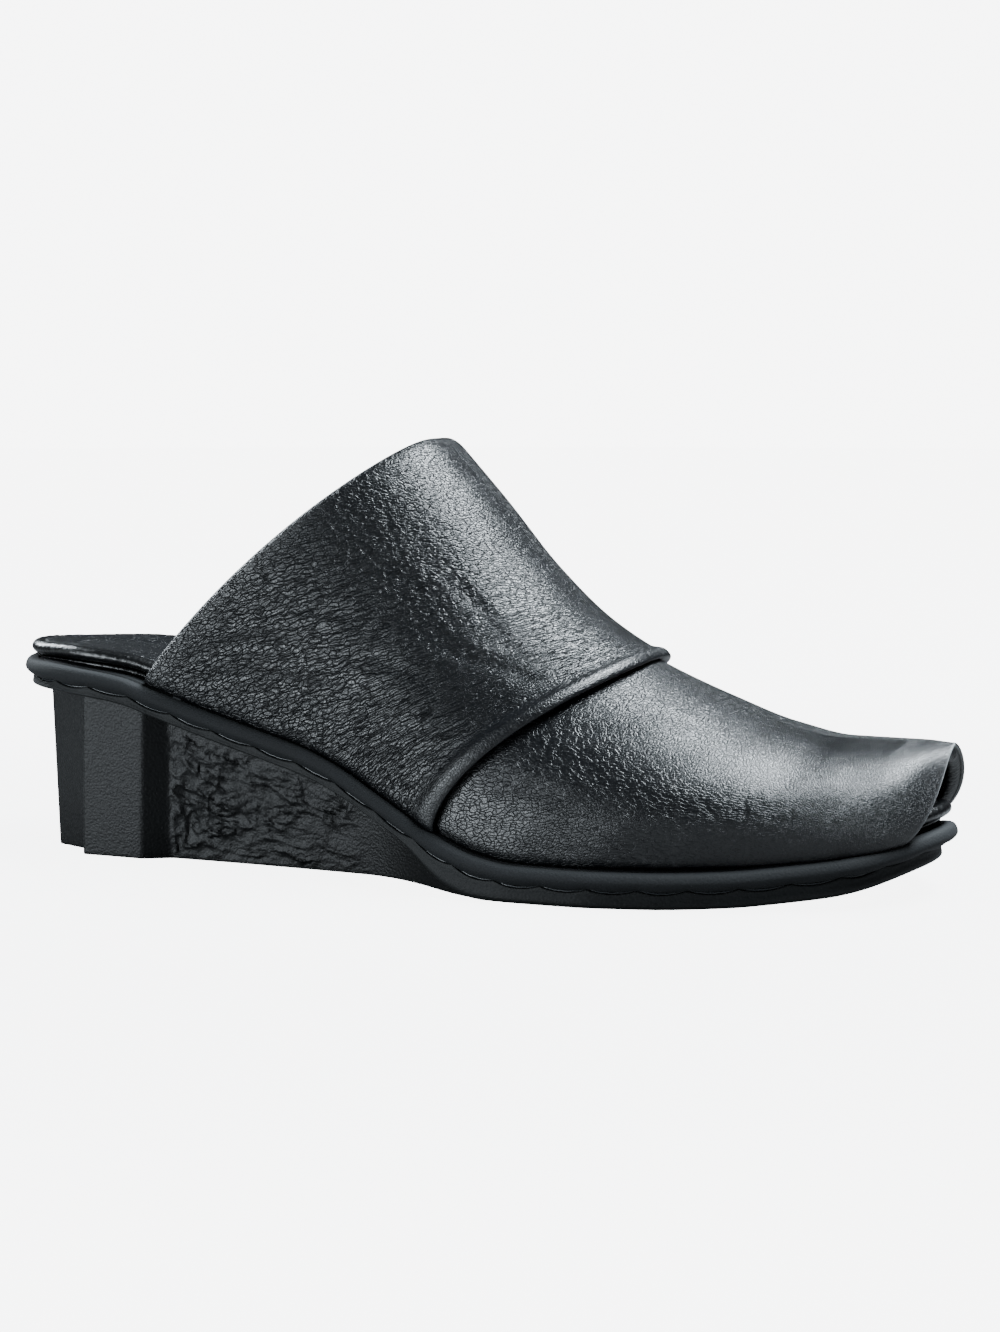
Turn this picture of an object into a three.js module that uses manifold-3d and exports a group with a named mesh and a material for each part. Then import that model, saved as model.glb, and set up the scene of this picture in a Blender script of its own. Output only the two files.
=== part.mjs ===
// An open-toe wedge mule for the right foot: a leather upper with a wide instep band over it, on a
// two-layer footbed, a rubber midsole rim and a moulded rubber outsole with a narrow wedge and a
// cross-shaped heel. Millimetres. +X points to the toe, +Y to the inner (big toe) side, +Z up. The shoe
// stands on Z = 0, and the origin is the middle of its footprint box.
import * as THREE from 'three';
import Module from 'manifold-3d';

const wasm = await Module();
wasm.setup();

// Driving dimensions
const LENGTH = 254.2; // midsole rim, back of the heel to the tip of the toe
const BALL_WIDTH = 92; // midsole rim across the ball
const HEEL_SEAT_HEIGHT = 46.2; // floor to the top of the outsole at the back of the heel
const INSTEP_HEIGHT = 109.5; // floor to the crest of the upper at the collar
const HEEL_ROUND = 33; // length over which the outline rounds off at the heel
const TOE_ROUND = 21; // and at the toe
const GAP = 0.3; // clearance between neighbouring pieces

// Outsole
const FLANGE = 2.4; // thickness of the plate above the wedge
const FOREFOOT = 4.2; // thickness of the outsole under the toes
const OUTSOLE_INSET = 1.8; // outsole edge inside the rim's edge
const OUTSOLE_TOE_INSET = 3.8; // the same at the tip of the toe
const WALL_DRAFT = 1.2; // wedge wall further out at its top than at the floor
const FLOOR_EDGE = 0.8; // rounding where the heel's walls meet the floor
const TREAD_END = 190; // distance from the heel up to which the forefoot lies flat on the floor
const FLARE_START = 108; // distance from the heel where the wedge begins to widen to the full sole
const FLARE_END = 150; // and where it has done so

// Midsole rim, insole base and footbed
const RIM_THICKNESS = 4.5;
const RIM_SLOPE = 3.4; // the rim's top edge lies this far inside its outline
const BASE_THICKNESS = 2;
const BASE_ROUNDING = 0.9;
const FOOTBED_THICKNESS = 2.9;
const FOOTBED_INSET = 7.6; // footbed's edge inside the rim's, where the upper stands between them
const FOOTBED_DISH = 1.4; // how far the footbed's middle lies below its edge
const FOOTBED_BORDER = 11; // width over which it sinks to that depth

// Upper and band
const UPPER_INSET = 4.5; // upper's foot inside the rim's edge
const UPPER_WALL = 1.8;
const BAND_WALL = 1.6;
const FOOT_GAP = 0.45; // clearance under the upper and the band, which stand on the rim
const RIB_STEPS = 3; // divisions between two rows of RIBS
const ARC_COUNT = 34; // divisions of each section
const SIDE_COUNT = 50; // points of the sole's outline on each side
const BAND_RIB_COUNT = 4; // rows of RIBS from the collar to the band's front edge

// The sole from heel to toe. at: share of LENGTH. outer, inner: half widths, share of BALL_WIDTH.
// seat: top of the outsole, share of HEEL_SEAT_HEIGHT.
const SOLE = [
  { at: 0.0, outer: 0.342, inner: 0.342, seat: 1.0 },
  { at: 0.06, outer: 0.345, inner: 0.347, seat: 0.996 },
  { at: 0.12, outer: 0.347, inner: 0.347, seat: 0.9735 },
  { at: 0.16, outer: 0.348, inner: 0.343, seat: 0.943 },
  { at: 0.2, outer: 0.348, inner: 0.337, seat: 0.877 },
  { at: 0.26, outer: 0.352, inner: 0.329, seat: 0.778 },
  { at: 0.34, outer: 0.366, inner: 0.326, seat: 0.659 },
  { at: 0.38, outer: 0.382, inner: 0.335, seat: 0.6 },
  { at: 0.42, outer: 0.402, inner: 0.35, seat: 0.514 },
  { at: 0.46, outer: 0.424, inner: 0.373, seat: 0.401 },
  { at: 0.5, outer: 0.453, inner: 0.396, seat: 0.292 },
  { at: 0.54, outer: 0.486, inner: 0.423, seat: 0.19 },
  { at: 0.58, outer: 0.508, inner: 0.447, seat: 0.1235 },
  { at: 0.62, outer: 0.52, inner: 0.462, seat: 0.0955 },
  { at: 0.68, outer: 0.516, inner: 0.478, seat: 0.091 },
  { at: 0.75, outer: 0.476, inner: 0.477, seat: 0.091 },
  { at: 0.82, outer: 0.41, inner: 0.456, seat: 0.102 },
  { at: 0.88, outer: 0.344, inner: 0.417, seat: 0.134 },
  { at: 0.94, outer: 0.268, inner: 0.362, seat: 0.182 },
  { at: 1.0, outer: 0.185, inner: 0.293, seat: 0.275 },
];

// The heel and wedge seen from below. from: distance from the back of the rim, share of LENGTH.
// half: half width at the floor, share of BALL_WIDTH. lean: how much further forward the wall is at its top,
// share of LENGTH. The cross-shaped heel's outer block lies between the third and fourth row.
const WEDGE = [
  { from: 0.0511, half: 0.152, lean: 0 },
  { from: 0.1023, half: 0.213, lean: 0.004 },
  { from: 0.1074, half: 0.283, lean: 0.005 },
  { from: 0.177, half: 0.287, lean: 0.007 },
  { from: 0.2046, half: 0.2424, lean: 0 },
];
const WEDGE_END = 158; // the wedge's front end, inside the forefoot
const WEDGE_END_HALF = 30; // its half width there before it widens to the full sole
const WEDGE_STEPS = 18; // stations between the last row of WEDGE and the front end

// The upper's ribs from collar to toe opening. outer, inner: where the rib's feet stand, share of LENGTH.
// crest: where its top lies, share of LENGTH. height: its top above the floor, share of INSTEP_HEIGHT.
// shift: its top's distance from the heel's axis, share of BALL_WIDTH. lean: above 1 it starts upright and
// then leans forward. roof: how square its shoulders are. belly: how far its sides swell out, share of
// BALL_WIDTH.
const RIBS = [
  { outer: 0.188, inner: 0.2, crest: 0.468, height: 1.0, shift: 0.0, lean: 1.2, roof: 3.4, belly: 0.06 },
  { outer: 0.272, inner: 0.285, crest: 0.527, height: 0.852, shift: 0.01, lean: 1.32, roof: 3.2, belly: 0.055 },
  { outer: 0.358, inner: 0.372, crest: 0.584, height: 0.698, shift: 0.02, lean: 1.44, roof: 3.0, belly: 0.05 },
  { outer: 0.446, inner: 0.46, crest: 0.641, height: 0.575, shift: 0.035, lean: 1.56, roof: 2.8, belly: 0.045 },
  { outer: 0.529, inner: 0.545, crest: 0.7, height: 0.492, shift: 0.05, lean: 1.65, roof: 2.6, belly: 0.04 },
  { outer: 0.62, inner: 0.634, crest: 0.765, height: 0.427, shift: 0.06, lean: 1.3, roof: 2.6, belly: 0.035 },
  { outer: 0.719, inner: 0.73, crest: 0.83, height: 0.374, shift: 0.065, lean: 1.0, roof: 2.6, belly: 0.03 },
  { outer: 0.822, inner: 0.83, crest: 0.897, height: 0.338, shift: 0.067, lean: 0.7, roof: 2.7, belly: 0.025 },
  { outer: 0.901, inner: 0.908, crest: 0.957, height: 0.346, shift: 0.067, lean: 0.42, roof: 2.9, belly: 0.015 },
  { outer: 0.955, inner: 0.96, crest: 0.997, height: 0.347, shift: 0.067, lean: 0.22, roof: 3.0, belly: 0.01 },
];

// The footbed's edge inside the rim's. at: share of LENGTH. inset: share of FOOTBED_INSET.
const FOOTBED_EDGE = [
  { at: 0.0, inset: 0.2 },
  { at: 0.03, inset: 0.42 },
  { at: 0.07, inset: 0.72 },
  { at: 0.14, inset: 0.82 },
  { at: 0.18, inset: 0.97 },
  { at: 0.9, inset: 1.0 },
  { at: 0.95, inset: 0.95 },
  { at: 0.98, inset: 0.4 },
  { at: 1.0, inset: 0.26 },
];

// A smooth curve through one column of a table, by monotone cubic pieces. place(row, i) is its argument.
function column(rows, place, name) {
  const xs = rows.map(place);
  const ys = rows.map((row) => row[name]);
  const slopes = xs.slice(1).map((x, i) => (ys[i + 1] - ys[i]) / (x - xs[i]));
  const tangents = xs.map((x, i) => {
    const before = slopes[Math.max(i - 1, 0)];
    const after = slopes[Math.min(i, slopes.length - 1)];
    return before * after <= 0 ? 0 : (2 * before * after) / (before + after);
  });
  return (value) => {
    const v = THREE.MathUtils.clamp(value, xs[0], xs[xs.length - 1]);
    let i = 0;
    while (i < xs.length - 2 && v > xs[i + 1]) i += 1;
    const h = xs[i + 1] - xs[i];
    const t = (v - xs[i]) / h;
    const ends = ys[i] * (1 + 2 * t) * (1 - t) ** 2 + ys[i + 1] * t * t * (3 - 2 * t);
    return ends + h * t * (1 - t) * (tangents[i] * (1 - t) - tangents[i + 1] * t);
  };
}

function columns(rows, place, names) {
  return Object.fromEntries(names.map((name) => [name, column(rows, place, name)]));
}

const sole = columns(SOLE, (row) => row.at * LENGTH, ['outer', 'inner', 'seat']);
const footbedEdge = columns(FOOTBED_EDGE, (row) => row.at * LENGTH, ['inset']);
const RIB_COLUMNS = ['outer', 'inner', 'crest', 'height', 'shift', 'lean', 'roof', 'belly'];
const ribs = columns(RIBS, (row, i) => i, RIB_COLUMNS);

const seatHeight = (x) => HEEL_SEAT_HEIGHT * sole.seat(x);
const rimBottom = (x) => seatHeight(x) + GAP;
const rimTop = (x) => rimBottom(x) + RIM_THICKNESS;
const baseBottom = (x) => rimTop(x) + GAP;
const footbedBottom = (x) => baseBottom(x) + BASE_THICKNESS + GAP;
const footbedInset = (x) => FOOTBED_INSET * footbedEdge.inset(x);

// How much of the full half width is left where the outline rounds off at its two ends.
function roundOff(x) {
  const quarter = (distance, length, power) => {
    const rest = 1 - THREE.MathUtils.clamp(distance / length, 0, 1);
    return (1 - rest ** power) ** (1 / power);
  };
  return quarter(x, HEEL_ROUND, 2) * quarter(LENGTH - x, TOE_ROUND, 2.2);
}

// The rim's edge in plan at x, on the outer (side = -1) or inner (side = 1) side.
function rimEdge(x, side) {
  const outer = BALL_WIDTH * sole.outer(x);
  const inner = BALL_WIDTH * sole.inner(x);
  return (inner - outer) / 2 + (side * roundOff(x) * (inner + outer)) / 2;
}

// The rim's outline in plan, moved inwards by inset(x): from the heel along the outer side to the toe and
// back along the inner side. Points i and length - 1 - i face each other.
function outline(inset) {
  const count = 2 * SIDE_COUNT;
  const rim = [];
  for (let i = 0; i < count; i += 1) {
    const station = Math.min(i, count - 1 - i) + 0.5;
    const x = (LENGTH * (1 - Math.cos((Math.PI * station) / SIDE_COUNT))) / 2;
    rim.push(new THREE.Vector2(x, rimEdge(x, i < SIDE_COUNT ? -1 : 1)));
  }
  return rim.map((point, i) => {
    const along = rim[(i + 1) % count].clone().sub(rim[(i + count - 1) % count]).normalize();
    const inwards = new THREE.Vector2(-along.y, along.x);
    return point.clone().addScaledVector(inwards, inset(point.x));
  });
}

// A closed mesh from rings stacked upwards. The first and last ring are closed by strips across the shoe.
function stack(rings) {
  const count = rings[0].length;
  const positions = rings.flat().flatMap((p) => [p.x, p.y, p.z]);
  const faces = [];
  for (let r = 0; r + 1 < rings.length; r += 1) {
    for (let i = 0; i < count; i += 1) {
      const j = (i + 1) % count;
      const [a, b, c, d] = [r * count + i, r * count + j, (r + 1) * count + j, (r + 1) * count + i];
      faces.push([a, b, c], [a, c, d]);
    }
  }
  const last = (rings.length - 1) * count;
  for (let i = 0; i + 1 < count / 2; i += 1) {
    const [a, b, c, d] = [i, i + 1, count - 2 - i, count - 1 - i];
    faces.push([a, c, b], [a, d, c]);
    faces.push([last + a, last + b, last + c], [last + a, last + c, last + d]);
  }
  return { positions, faces };
}

function geometryOf({ positions, faces }) {
  const geometry = new THREE.BufferGeometry();
  geometry.setAttribute('position', new THREE.Float32BufferAttribute(positions, 3));
  geometry.setIndex(faces.flat());
  geometry.computeVertexNormals();
  return geometry;
}

function solidOf({ positions, faces }) {
  const vertProperties = new Float32Array(positions);
  const triVerts = new Uint32Array(faces.flat());
  return new wasm.Manifold(new wasm.Mesh({ numProp: 3, vertProperties, triVerts }));
}

function geometryOfSolid(solid) {
  const mesh = solid.getMesh();
  return geometryOf({ positions: Array.from(mesh.vertProperties), faces: Array.from(mesh.triVerts) });
}

// A layer that follows the sole. levels: rows of [share of the thickness, share of the border], from the
// bottom up. The border is how far the layer's edge is rounded or sloped inwards.
function layer(inset, bottom, thickness, border, levels) {
  return stack(
    levels.map(([rise, inwards]) =>
      outline((x) => inset(x) + inwards * border).map(
        (p) => new THREE.Vector3(p.x, p.y, bottom(p.x) + rise * thickness(p.x)),
      ),
    ),
  );
}

// Outsole: a plate that thickens into the forefoot, with the wedge and the cross-shaped heel under it
function makeOutsole() {
  const thickness = (x) => {
    const front = THREE.MathUtils.smoothstep(x, FLARE_START + 15, FLARE_END);
    const full = x < TREAD_END ? seatHeight(x) : Math.min(seatHeight(x), FOREFOOT);
    return THREE.MathUtils.lerp(FLANGE, full, front);
  };
  const inset = (x) => {
    const tip = THREE.MathUtils.smoothstep(x, 0.9 * LENGTH, LENGTH);
    return THREE.MathUtils.lerp(OUTSOLE_INSET, OUTSOLE_TOE_INSET, tip);
  };
  const levels = [
    [0, 1],
    [0.25, 0.2],
    [0.5, 0],
    [1, 0],
  ];
  const plate = layer(inset, (x) => seatHeight(x) - thickness(x), thickness, FLOOR_EDGE, levels);
  return solidOf(plate).add(solidOf(makeWedge()));
}

function makeWedge() {
  const rows = WEDGE.map((row) => ({
    x: row.from * LENGTH,
    half: row.half * BALL_WIDTH,
    lean: row.lean * LENGTH,
  }));
  const back = rows[rows.length - 1];
  for (let i = 1; i <= WEDGE_STEPS; i += 1) {
    const share = i / WEDGE_STEPS;
    const x = THREE.MathUtils.lerp(back.x, WEDGE_END, share);
    rows.push({ x, half: THREE.MathUtils.lerp(back.half, WEDGE_END_HALF, share ** 2), lean: 0 });
  }
  const halfWidth = ({ x, half }, side) => {
    const flare = THREE.MathUtils.smoothstep(x, FLARE_START, FLARE_END);
    return THREE.MathUtils.lerp(half, side * rimEdge(x, side) - OUTSOLE_INSET - WALL_DRAFT - GAP, flare);
  };
  const ring = (height, lean, out) => {
    const point = (row, side) => {
      const x = row.x + lean * row.lean;
      return new THREE.Vector3(x, side * (halfWidth(row, side) + out), height(x));
    };
    return [...rows.map((row) => point(row, -1)), ...rows.map((row) => point(row, 1)).reverse()];
  };
  const top = (x) => seatHeight(x) - FLANGE;
  return stack([
    ring(() => 0, 0, -FLOOR_EDGE),
    ring((x) => Math.min(FLOOR_EDGE, 0.5 * top(x)), 0, 0),
    ring(top, 1, WALL_DRAFT),
    ring((x) => top(x) + 0.5 * FLANGE, 1, WALL_DRAFT),
  ]);
}

// Midsole rim: a rubber layer that stands out all round, with its top edge sloped up to the upper
function makeRim() {
  const levels = [
    [0, 0.3],
    [0.15, 0.05],
    [0.33, 0],
    [0.55, 0.12],
    [0.8, 0.5],
    [1, 1],
  ];
  return layer(() => 0, rimBottom, () => RIM_THICKNESS, RIM_SLOPE, levels);
}

// Insole base: the lower, leather-covered layer under the footbed
function makeBase() {
  const levels = [
    [0, 0.8],
    [0.35, 0.1],
    [0.7, 0.2],
    [1, 1],
  ];
  return layer((x) => footbedInset(x) + GAP, baseBottom, () => BASE_THICKNESS, BASE_ROUNDING, levels);
}

// Footbed: the padded top layer with its rolled edge and dished middle
function makeFootbed() {
  const dish = FOOTBED_DISH / FOOTBED_THICKNESS;
  const levels = [
    [0, 0.08],
    [0.25, 0.015],
    [0.55, 0],
    [0.85, 0.045],
    [1, 0.155],
    [1 - 0.5 * dish, 0.55],
    [1 - dish, 1],
  ];
  return layer(footbedInset, footbedBottom, () => FOOTBED_THICKNESS, FOOTBED_BORDER, levels);
}

// A point of the upper's outside. rib: 0 at the collar to RIBS.length - 1 at the toe opening.
// around: 0 at the outer foot to 1 at the inner foot.
function upperPoint(rib, around) {
  const side = around < 0.5 ? -1 : 1;
  const [across, up] = [Math.abs(Math.cos(Math.PI * around)), Math.sin(Math.PI * around)];
  const power = ribs.roof(rib);
  const reach = (across ** power + up ** power) ** (-1 / power);
  const [out, rise] = [across * reach, up * reach];
  const foot = LENGTH * ribs[side < 0 ? 'outer' : 'inner'](rib);
  const footY = rimEdge(foot, side) - side * UPPER_INSET;
  const footZ = rimTop(foot) + FOOT_GAP;
  const crestX = LENGTH * ribs.crest(rib);
  const crestY = BALL_WIDTH * ribs.shift(rib);
  const crestZ = INSTEP_HEIGHT * ribs.height(rib);
  const belly = side * BALL_WIDTH * ribs.belly(rib) * 6.75 * rise * rise * (1 - rise) * out;
  return new THREE.Vector3(
    foot + (crestX - foot) * rise ** ribs.lean(rib),
    crestY + (footY - crestY) * out + belly,
    footZ + (crestZ - footZ) * rise,
  );
}

// The same point moved outwards along the surface's normal. The feet stay level with the rim.
function offsetPoint(rib, around, distance) {
  const step = 0.004;
  const last = RIBS.length - 1;
  const [r0, r1] = [Math.max(rib - step * last, 0), Math.min(rib + step * last, last)];
  const [a0, a1] = [Math.max(around - step, 0), Math.min(around + step, 1)];
  const across = upperPoint(rib, a1).sub(upperPoint(rib, a0));
  const along = upperPoint(r1, around).sub(upperPoint(r0, around));
  const point = upperPoint(rib, around).addScaledVector(along.cross(across).normalize(), distance);
  if (around === 0 || around === 1) point.z = rimTop(point.x) + FOOT_GAP;
  return point;
}

// A wall between two distances from the upper's outside, from the collar to the last rib.
function shell(lastRib, inside, outside) {
  const ribCount = lastRib * RIB_STEPS;
  const points = [];
  for (const distance of [outside, inside]) {
    for (let i = 0; i <= ribCount; i += 1) {
      for (let j = 0; j <= ARC_COUNT; j += 1) {
        points.push(offsetPoint(i / RIB_STEPS, j / ARC_COUNT, distance));
      }
    }
  }
  const width = ARC_COUNT + 1;
  const inner = width * (ribCount + 1);
  const faces = [];
  for (let i = 0; i < ribCount; i += 1) {
    for (let j = 0; j < ARC_COUNT; j += 1) {
      const [a, b] = [i * width + j, i * width + j + 1];
      const [c, d] = [a + width, b + width];
      faces.push([a, c, b], [b, c, d]);
      faces.push([inner + a, inner + b, inner + c], [inner + b, inner + d, inner + c]);
    }
  }
  const edge = (a, b) => faces.push([a, b, inner + b], [a, inner + b, inner + a]);
  for (let j = 0; j < ARC_COUNT; j += 1) {
    edge(j, j + 1);
    edge(ribCount * width + j + 1, ribCount * width + j);
  }
  for (let i = 0; i < ribCount; i += 1) {
    edge((i + 1) * width, i * width);
    edge(i * width + ARC_COUNT, (i + 1) * width + ARC_COUNT);
  }
  return { positions: points.flatMap((p) => [p.x, p.y, p.z]), faces };
}

const makeUpper = () => shell(RIBS.length - 1, -UPPER_WALL, 0);
const makeBand = () => shell(BAND_RIB_COUNT, GAP, GAP + BAND_WALL);

const leather = { color: 0x1b1e20, roughness: 0.45, metalness: 0 };
const rubber = { color: 0x2e3234, roughness: 0.8, metalness: 0 };

const shoe = new THREE.Group();
function add(name, geometry, finish) {
  const mesh = new THREE.Mesh(geometry, new THREE.MeshStandardMaterial(finish));
  mesh.name = name;
  shoe.add(mesh);
}

add('outsole', geometryOfSolid(makeOutsole()), rubber);
add('midsole_rim', geometryOf(makeRim()), rubber);
add('insole_base', geometryOf(makeBase()), leather);
add('footbed', geometryOf(makeFootbed()), leather);
add('upper', geometryOf(makeUpper()), leather);
add('instep_band', geometryOf(makeBand()), leather);

// The origin lies under the middle of the shoe's box.
const box = new THREE.Box3().setFromObject(shoe);
shoe.position.set(-(box.min.x + box.max.x) / 2, -(box.min.y + box.max.y) / 2, -box.min.z);

export default shoe;
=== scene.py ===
# %% [markdown]
# An open-toe wedge mule for the right foot, in black leather on a moulded rubber sole.
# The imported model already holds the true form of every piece: the sole's outline and seat, the hollow
# upper, the band across the instep. Here each of them gets its real surface: rolled edges, the stitched
# seam of the sole, the crinkled side of the wedge, the grain and creases of the leather.
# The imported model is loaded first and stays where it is, because everything is fitted round it.

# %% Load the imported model
import math

import bpy
import numpy as np
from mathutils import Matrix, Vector, noise


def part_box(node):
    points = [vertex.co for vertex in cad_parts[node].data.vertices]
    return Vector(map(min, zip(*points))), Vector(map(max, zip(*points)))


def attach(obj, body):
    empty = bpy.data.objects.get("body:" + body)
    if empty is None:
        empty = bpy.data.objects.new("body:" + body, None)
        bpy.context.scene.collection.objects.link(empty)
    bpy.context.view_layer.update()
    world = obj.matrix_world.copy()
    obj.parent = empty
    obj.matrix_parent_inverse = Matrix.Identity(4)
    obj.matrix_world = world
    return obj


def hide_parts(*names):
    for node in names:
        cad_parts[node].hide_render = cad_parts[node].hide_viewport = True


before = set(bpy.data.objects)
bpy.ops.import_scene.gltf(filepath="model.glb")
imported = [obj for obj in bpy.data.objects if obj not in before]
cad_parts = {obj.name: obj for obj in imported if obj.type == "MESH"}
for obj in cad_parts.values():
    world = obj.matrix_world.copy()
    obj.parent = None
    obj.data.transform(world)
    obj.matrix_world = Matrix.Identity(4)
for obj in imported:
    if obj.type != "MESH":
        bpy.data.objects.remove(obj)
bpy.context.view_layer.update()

# %% [markdown]
# A shoe is drawn from a handful of sizes: its length, the width across the ball, the height of the heel
# and of the instep. The sections between them are shares of those sizes, in short tables. The same sizes
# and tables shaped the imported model, so a surface worked out from them lies on it, apart from the last
# ribs at the toe, which are refined here.

# %% Sizes in millimetres
MM = 0.001
LENGTH = 254.2
BALL_WIDTH = 92
HEEL_SEAT_HEIGHT = 46.2
INSTEP_HEIGHT = 109.5
HEEL_ROUND = 33
TOE_ROUND = 21
FLANGE = 2.4
FOREFOOT = 4.2
OUTSOLE_INSET = 1.8
OUTSOLE_TOE_INSET = 3.8
WALL_DRAFT = 1.2
FLOOR_EDGE = 0.8
TREAD_END = 190
FLARE_START = 108
FLARE_END = 150
RIM_THICKNESS = 4.5
RIM_SLOPE = 3.4
BASE_THICKNESS = 2
FOOTBED_THICKNESS = 2.9
FOOTBED_INSET = 7.6
FOOTBED_DISH = 1.4
UPPER_INSET = 4.5
GAP = 0.3

# at: share of LENGTH. outer, inner: half widths, share of BALL_WIDTH. seat: share of HEEL_SEAT_HEIGHT.
SOLE = [
    # at, outer, inner, seat
    (0.0, 0.342, 0.342, 1.0),
    (0.06, 0.345, 0.347, 0.996),
    (0.12, 0.347, 0.347, 0.9735),
    (0.16, 0.348, 0.343, 0.943),
    (0.2, 0.348, 0.337, 0.877),
    (0.26, 0.352, 0.329, 0.778),
    (0.34, 0.366, 0.326, 0.659),
    (0.38, 0.382, 0.335, 0.6),
    (0.42, 0.402, 0.35, 0.514),
    (0.46, 0.424, 0.373, 0.401),
    (0.5, 0.453, 0.396, 0.292),
    (0.54, 0.486, 0.423, 0.19),
    (0.58, 0.508, 0.447, 0.1235),
    (0.62, 0.52, 0.462, 0.0955),
    (0.68, 0.516, 0.478, 0.091),
    (0.75, 0.476, 0.477, 0.091),
    (0.82, 0.41, 0.456, 0.102),
    (0.88, 0.344, 0.417, 0.134),
    (0.94, 0.268, 0.362, 0.182),
    (1.0, 0.185, 0.293, 0.275),
]

# at: share of LENGTH. inset: the footbed's edge inside the rim's, share of FOOTBED_INSET.
FOOTBED_EDGE = [
    # at, inset
    (0.0, 0.2),
    (0.03, 0.42),
    (0.07, 0.72),
    (0.14, 0.82),
    (0.18, 0.97),
    (0.9, 1.0),
    (0.95, 0.95),
    (0.98, 0.4),
    (1.0, 0.26),
]


# %% [markdown]
# A table's column becomes one smooth curve. Plain interpolation would leave kinks that the gloss of the
# leather shows, and a free spline would swing past the values, so monotone cubic pieces are used.

# %% Curves through the tables
def column(places, values):
    """A smooth curve through values at places that never swings past them."""
    xs, ys = np.array(places, float), np.array(values, float)
    slopes = np.diff(ys) / np.diff(xs)
    before = np.concatenate([slopes[:1], slopes])
    after = np.concatenate([slopes, slopes[-1:]])
    same_way = before * after > 0
    tangents = np.where(same_way, 2 * before * after / np.where(same_way, before + after, 1), 0)

    def curve(x):
        x = np.clip(x, xs[0], xs[-1])
        i = np.clip(np.searchsorted(xs, x, side="right") - 1, 0, len(xs) - 2)
        h = xs[i + 1] - xs[i]
        t = (x - xs[i]) / h
        ends = ys[i] * (1 + 2 * t) * (1 - t) ** 2 + ys[i + 1] * t * t * (3 - 2 * t)
        return ends + h * t * (1 - t) * (tangents[i] * (1 - t) - tangents[i + 1] * t)

    return curve


def smoothstep(x, low, high):
    t = np.clip((x - low) / (high - low), 0, 1)
    return t * t * (3 - 2 * t)


sole_at = [row[0] * LENGTH for row in SOLE]
sole_outer = column(sole_at, [row[1] * BALL_WIDTH for row in SOLE])
sole_inner = column(sole_at, [row[2] * BALL_WIDTH for row in SOLE])
seat_height = column(sole_at, [row[3] * HEEL_SEAT_HEIGHT for row in SOLE])
footbed_inset = column(
    [row[0] * LENGTH for row in FOOTBED_EDGE], [row[1] * FOOTBED_INSET for row in FOOTBED_EDGE]
)


def rim_bottom(x):
    return seat_height(x) + GAP


def rim_top(x):
    return rim_bottom(x) + RIM_THICKNESS


def base_bottom(x):
    return rim_top(x) + GAP


def footbed_bottom(x):
    return base_bottom(x) + BASE_THICKNESS + GAP


def round_off(x):
    """How much of the half width is left where the outline rounds off at the heel and the toe."""

    def quarter(distance, length, power):
        rest = 1 - np.clip(distance / length, 0, 1)
        return (1 - rest**power) ** (1 / power)

    return quarter(x, HEEL_ROUND, 2) * quarter(LENGTH - x, TOE_ROUND, 2.2)


def rim_edge(x, side):
    """The rim's edge in plan at x, on the outer (side = -1) or inner (side = 1) side."""
    outer, inner = sole_outer(x), sole_inner(x)
    return (inner - outer) / 2 + side * round_off(x) * (inner + outer) / 2


rim_low, rim_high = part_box("midsole_rim")
shoe_origin = np.array([
    (rim_low.x + rim_high.x) / 2 / MM - LENGTH / 2,
    rim_low.y / MM + BALL_WIDTH * max(row[1] for row in SOLE),
    0,
])
print("back of the heel and its axis in the frame", np.round(shoe_origin, 2), "mm")

# %% [markdown]
# The outline of the sole is a closed ring of points. They lie closest together at the heel and the toe,
# where it turns most. The way along the ring is measured too, because the stitches of the sole are
# spaced evenly along it.

# %% The sole's outline
SIDE_COUNT = 400
RING = 2 * SIDE_COUNT
ring_station = np.minimum(np.arange(RING), RING - 1 - np.arange(RING)) + 0.5
ring_x = LENGTH * (1 - np.cos(math.pi * ring_station / SIDE_COUNT)) / 2
ring_side = np.where(np.arange(RING) < SIDE_COUNT, -1.0, 1.0)
ring_y = rim_edge(ring_x, ring_side)
ring_along = np.stack([np.roll(ring_x, -1) - np.roll(ring_x, 1), np.roll(ring_y, -1) - np.roll(ring_y, 1)])
ring_along /= np.linalg.norm(ring_along, axis=0)
ring_steps = np.hypot(np.roll(ring_x, -1) - ring_x, np.roll(ring_y, -1) - ring_y)
ring_way = np.concatenate([[0], np.cumsum(ring_steps)[:-1]])
PERIMETER = float(ring_steps.sum())
print("the outline is", round(PERIMETER, 1), "mm round")


def inset_ring(inset):
    """The outline moved inwards by inset, in millimetres: x and y of each point of the ring."""
    return ring_x - ring_along[1] * inset, ring_y + ring_along[0] * inset


# %% [markdown]
# Every layer of the sole is one ring extruded upwards, as clay is built from coils. The circle is added,
# extruded once for each level, and then every point is moved to its place on the outline. The first and
# last level lie on the middle line of the shoe, where the two sides are merged, so the body is closed.

# %% Helpers for pieces
def select_only(piece):
    bpy.ops.object.select_all(action="DESELECT")
    piece.select_set(True)
    bpy.context.view_layer.objects.active = piece


def read_points(piece):
    points = np.zeros(3 * len(piece.data.vertices))
    piece.data.vertices.foreach_get("co", points)
    return points.reshape(-1, 3)


def set_points(piece, points):
    """Moves every vertex to its place, given in millimetres from the back of the heel on the floor."""
    piece.data.vertices.foreach_set("co", ((points + shoe_origin) * MM).ravel())
    piece.data.update()


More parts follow.
